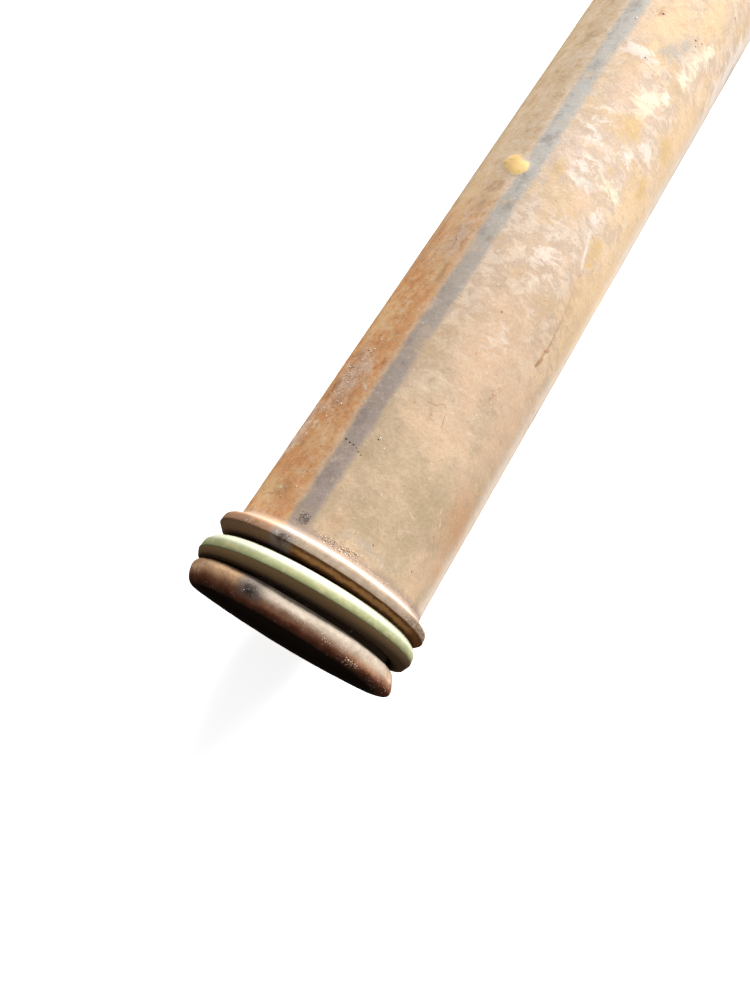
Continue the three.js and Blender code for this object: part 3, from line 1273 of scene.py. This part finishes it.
@dataclass
class RustGrains:
    """Flat grains, chips and blisters of rust that lie on the pipe.

    Attributes:
        height: A grain's height over its width.
        rough: How far a grain's corners stray, over its half length.
        clear_of_ground: Height above the ground below which no grain lies.
        outside: A radius that is well outside the pipe.
        seed: Start of the random draws.
        fields: The fields of grains.
        singles: The grains placed one by one: distance from the mouth, angle, half length and shade.
    """

    height: float = 0.3
    rough: float = 0.16
    clear_of_ground: float = 0.3
    outside: float = 25.0
    seed: int = 7
    fields: tuple[Scatter, ...] = (
        Scatter(150, (12.4, 13.6), (-9, 12), (0.05, 0.15), (0.3, 0.85)),
        Scatter(50, (12.4, 14.2), (0, 17), (0.04, 0.10), (0.35, 0.8)),
        Scatter(130, (12.2, 12.9), (-58, -8), (0.04, 0.13), (0.3, 0.8)),
        Scatter(30, (12.4, 13.8), (-12, 14), (0.04, 0.08), (0.85, 1)),
        Scatter(22, (13.3, 15), (22, 28), (0.05, 0.16), (0.1, 0.45)),
        Scatter(8, (13, 15.2), (22, 28), (0.04, 0.08), (0.9, 1)),
        Scatter(14, (1.1, 2.6), (22.5, 29), (0.05, 0.14), (0.1, 0.4)),
        Scatter(4, (1.2, 2.4), (21, 29), (0.07, 0.12), (0.95, 1)),
        Scatter(12, (9.6, 10.6), (22, 27), (0.05, 0.13), (0.1, 0.4)),
        Scatter(10, (9.9, 11.3), (8, 26), (0.04, 0.08), (0.95, 1)),
        Scatter(50, (0.8, 2.2), (-26, 0), (0.04, 0.10), (0.6, 1)),
        Scatter(50, (0.3, 1.5), (-60, -18), (0.04, 0.10), (0.4, 0.9)),
        Scatter(46, (0.35, 1.2), (-36, -28), (0.08, 0.26), (0.62, 0.84), 3.0),
        Scatter(40, (0.1, 2), (-70, -46), (0.05, 0.13), (0.4, 0.9)),
        Scatter(24, (0.8, 2.6), (58, 80), (0.04, 0.12), (0.6, 0.9), 4.0),
        Scatter(120, (9.9, 11.4), (-85, -40), (0.05, 0.12), (0.4, 0.8)),
        Scatter(80, (14, 60), (-70, 18), (0.04, 0.10), (0.4, 0.65)),
        Scatter(70, (14, 60), (-40, 18), (0.04, 0.10), (0.8, 1)),
        Scatter(240, (13, 72), (34, 88), (0.06, 0.18), (0.35, 0.6), 4.0),
        Scatter(240, (13, 72), (34, 88), (0.06, 0.18), (0.6, 0.85), 3.5),
        Scatter(120, (30, 44), (46, 70), (0.08, 0.24), (0.3, 0.9), 3.5),
        Scatter(70, (60, 150), (-60, 20), (0.05, 0.12), (0.45, 0.7)),
        Scatter(120, (60, 150), (-45, 18), (0.06, 0.18), (0.75, 1), 3.0),
        Scatter(80, (70, 150), (32, 88), (0.06, 0.16), (0.4, 0.8)),
        Scatter(300, (14, 498), (88, 272), (0.10, 0.30), (0.3, 0.9), 2.5),
        Scatter(300, (150, 498), (-88, 88), (0.10, 0.30), (0.3, 0.9), 2.5),
    )
    singles: tuple[Row, ...] = (
        (27.6, 29.3, 0.24, 0.25), (27.3, 26.4, 0.2, 0.25), (27.2, 24, 0.18, 0.3), (26.9, 21.4, 0.15, 0.3),
        (26.5, 19.5, 0.15, 0.35), (26.2, 17.4, 0.16, 0.4), (29.5, 14, 0.16, 0.3), (29.8, 13.5, 0.12, 1),
        (57.6, -5.3, 0.16, 0.1), (15.9, -12.1, 0.14, 0.2), (16.4, -38.9, 0.16, 0.25),
        (116.4, 2.2, 0.22, 0.4), (127.7, 7.3, 0.3, 0.6), (127.5, -20, 0.18, 0.55), (126.5, -22, 0.2, 0.6),
        (128.4, -25, 0.2, 0.55), (124.6, 21.4, 0.26, 1), (88, -5.4, 0.14, 1), (28.6, 9, 0.1, 1),
    )

    def places(self, chance: random.Random) -> Iterator[list[Row]]:
        """Gives the grains' own values, first for the single ones and then field by field."""
        yield [(*single, 1.0) for single in self.singles]
        yield from (scatter.draw(chance) for scatter in self.fields)

    def build(self, axis: PipeAxis, pipe: bpy.types.Object, finish: GrainRust) -> None:
        """Strews the grains over the finished pipe.

        Args:
            axis: Where the pipe lies.
            pipe: The dressed pipe, which carries the grains.
            finish: The grains' finish.
        """
        chance = random.Random(self.seed)
        surface = BVHTree.FromObject(pipe, bpy.context.evaluated_depsgraph_get())
        to_pipe = axis.placement().inverted()
        grains, sheet = bmesh.new(), bpy.data.meshes.new("grain_field")
        for field_of_grains in self.places(chance):
            bm = bmesh.new()
            shade = bm.verts.layers.float.new(finish.attribute)
            for along, angle, size, tint, stretch in field_of_grains:
                start, end = axis.point(along, self.outside, angle), axis.point(along, 0.0, angle)
                spot, normal, _, _ = surface.ray_cast(start, end - start)
                if spot is None or spot.z < self.clear_of_ground * MM:
                    continue
                stand = (to_pipe.to_3x3() @ normal).to_track_quat("Z", "X").to_matrix().to_4x4()
                turn = Matrix.Rotation(chance.uniform(0.0, math.tau), 4, "Z")
                shape = Matrix.Diagonal((size, size / stretch, size * self.height / stretch, 1.0))
                place = Matrix.Translation(to_pipe @ spot) @ stand @ turn @ shape
                made = bmesh.ops.create_icosphere(bm, subdivisions=1, radius=1.0, matrix=place)
                for vert in made["verts"]:
                    vert[shade] = tint
                    vert.co += Vector([chance.uniform(-self.rough, self.rough) * size for _ in range(3)])
            bm.to_mesh(sheet)
            grains.from_mesh(sheet)
            bm.free()
        bmesh.ops.recalc_face_normals(grains, faces=grains.faces)
        finished("rust_grains", grains, axis, finish.build(axis), Slot.STEEL)


@dataclass(frozen=True)
class CloseUpCamera:
    """The camera, close above the pipe's mouth.

    Attributes:
        lens: Focal length for a 36 mm sensor.
        nearest: Distance from which the camera sees things, in metres.
        height: Distance from the pipe's axis.
        before_mouth: How far the camera stands out beyond the mouth.
        axis_in_view: Direction of the pipe's axis in the picture: right, up and towards the viewer.
        up_in_view: Direction straight away from the axis to the camera, given the same way.
    """

    lens: float = 27.04
    nearest: float = 0.001
    height: float = 115.7
    before_mouth: float = 8.8
    axis_in_view: Row = (0.50703, 0.81174, -0.28983)
    up_in_view: Row = (0.15583, 0.24439, 0.95707)

    def build(self, axis: PipeAxis) -> None:
        """Places the camera and makes it the scene's camera.

        Args:
            axis: Where the pipe lies.
        """
        data = bpy.data.cameras.new("close_up")
        data.lens = self.lens
        data.clip_start = self.nearest
        camera = bpy.data.objects.new("close_up", data)
        bpy.context.scene.collection.objects.link(camera)
        along, up = Vector(self.axis_in_view).normalized(), Vector(self.up_in_view)
        up = (up - along * up.dot(along)).normalized()
        seen = Matrix((along, up, along.cross(up))).transposed()
        real = Matrix((axis.direction, axis.up, axis.direction.cross(axis.up))).transposed()
        place = Matrix.Translation(axis.point(-self.before_mouth, self.height, 0.0))
        camera.matrix_world = place @ (real @ seen.transposed()).to_4x4()
        bpy.context.scene.camera = camera


@dataclass(frozen=True)
class Studio:
    """A plain pale floor, one wide soft lamp beyond the sawn end and a pale sky. Lengths are in metres.

    Attributes:
        height: The lamp's height above the floor as seen from the pipe, in degrees.
        swing: The lamp's turn towards +y as seen from the pipe, in degrees.
        reach: The lamp's distance from the pipe.
        size: The lamp's width and its height from edge to edge.
        power: The lamp's power, in watts.
        sky: Strength of the sky's light.
        glow: Strength of the floor's own light.
        floor_size: Half the floor's side.
    """

    height: float = 21.0
    swing: float = -5.0
    reach: float = 2.6
    size: Span = (3.4, 0.6)
    power: float = 345.0
    sky: float = 0.22
    glow: float = 0.8
    floor_size: float = 15.0

    def build(self) -> None:
        """Makes the floor, the lamp and the sky."""
        self.floor()
        self.lamp()
        self.backdrop()

    def floor(self) -> None:
        """Lays a plain floor at the height of the ground, which casts no light back on the pipe."""
        material = bpy.data.materials.new("pale_floor")
        material.use_nodes = True
        shader = material.node_tree.nodes["Principled BSDF"].inputs
        shader["Base Color"].default_value = (0.8, 0.8, 0.8, 1.0)
        shader["Roughness"].default_value = 0.9
        shader["Emission Color"].default_value = (1.0, 1.0, 1.0, 1.0)
        shader["Emission Strength"].default_value = self.glow
        bm = bmesh.new()
        bmesh.ops.create_grid(bm, x_segments=1, y_segments=1, size=self.floor_size)
        mesh = bpy.data.meshes.new("floor")
        bm.to_mesh(mesh)
        bm.free()
        mesh.materials.append(material)
        floor = bpy.data.objects.new("floor", mesh)
        floor.visible_diffuse = False
        bpy.context.scene.collection.objects.link(floor)

    def lamp(self) -> None:
        """Hangs the lamp beyond the sawn end, low over the floor and turned to the pipe."""
        light = bpy.data.lights.new("wide_lamp", "AREA")
        light.shape = "RECTANGLE"
        light.size, light.size_y = self.size
        light.energy = self.power
        lamp = bpy.data.objects.new("wide_lamp", light)
        bpy.context.scene.collection.objects.link(lamp)
        height, swing = math.radians(self.height), math.radians(self.swing)
        level = math.cos(height)
        away = Vector((level * math.cos(swing), level * math.sin(swing), math.sin(height)))
        turn = away.to_track_quat("Z", "Y").to_matrix().to_4x4()
        lamp.matrix_world = Matrix.Translation(away * self.reach) @ turn
        lamp.visible_camera = False

    def backdrop(self) -> None:
        """Gives the sky: white where the camera sees it, and dimmer as a light."""
        world = bpy.data.worlds.new("pale_sky")
        world.use_nodes = True
        nodes, links = world.node_tree.nodes, world.node_tree.links
        background = nodes["Background"]
        background.inputs["Color"].default_value = (1.0, 1.0, 1.0, 1.0)
        path = nodes.new("ShaderNodeLightPath")
        strength = nodes.new("ShaderNodeMapRange")
        strength.inputs["To Min"].default_value = self.sky
        strength.inputs["To Max"].default_value = 1.0
        links.new(path.outputs["Is Camera Ray"], strength.inputs["Value"])
        links.new(strength.outputs[0], background.inputs["Strength"])
        bpy.context.scene.world = world


def main() -> None:
    """Builds the camera, the pipe and its ring, the grains and the studio."""
    logging.basicConfig(level=logging.INFO, format="%(name)s: %(message)s")
    pipe = RolledPipe()
    axis = PipeAxis.from_record(pipe.length * MM, (TUBE_RADIUS - pipe.wall / 2) * MM)
    CloseUpCamera().build(axis)
    steel_pipe = pipe.build(axis, RustedSteel())
    SealingRing().build(axis, GreenRubber())
    RustGrains().build(axis, steel_pipe, GrainRust())
    Studio().build()
    bpy.context.scene.view_settings.view_transform = "Standard"


if __name__ == "__main__":
    main()
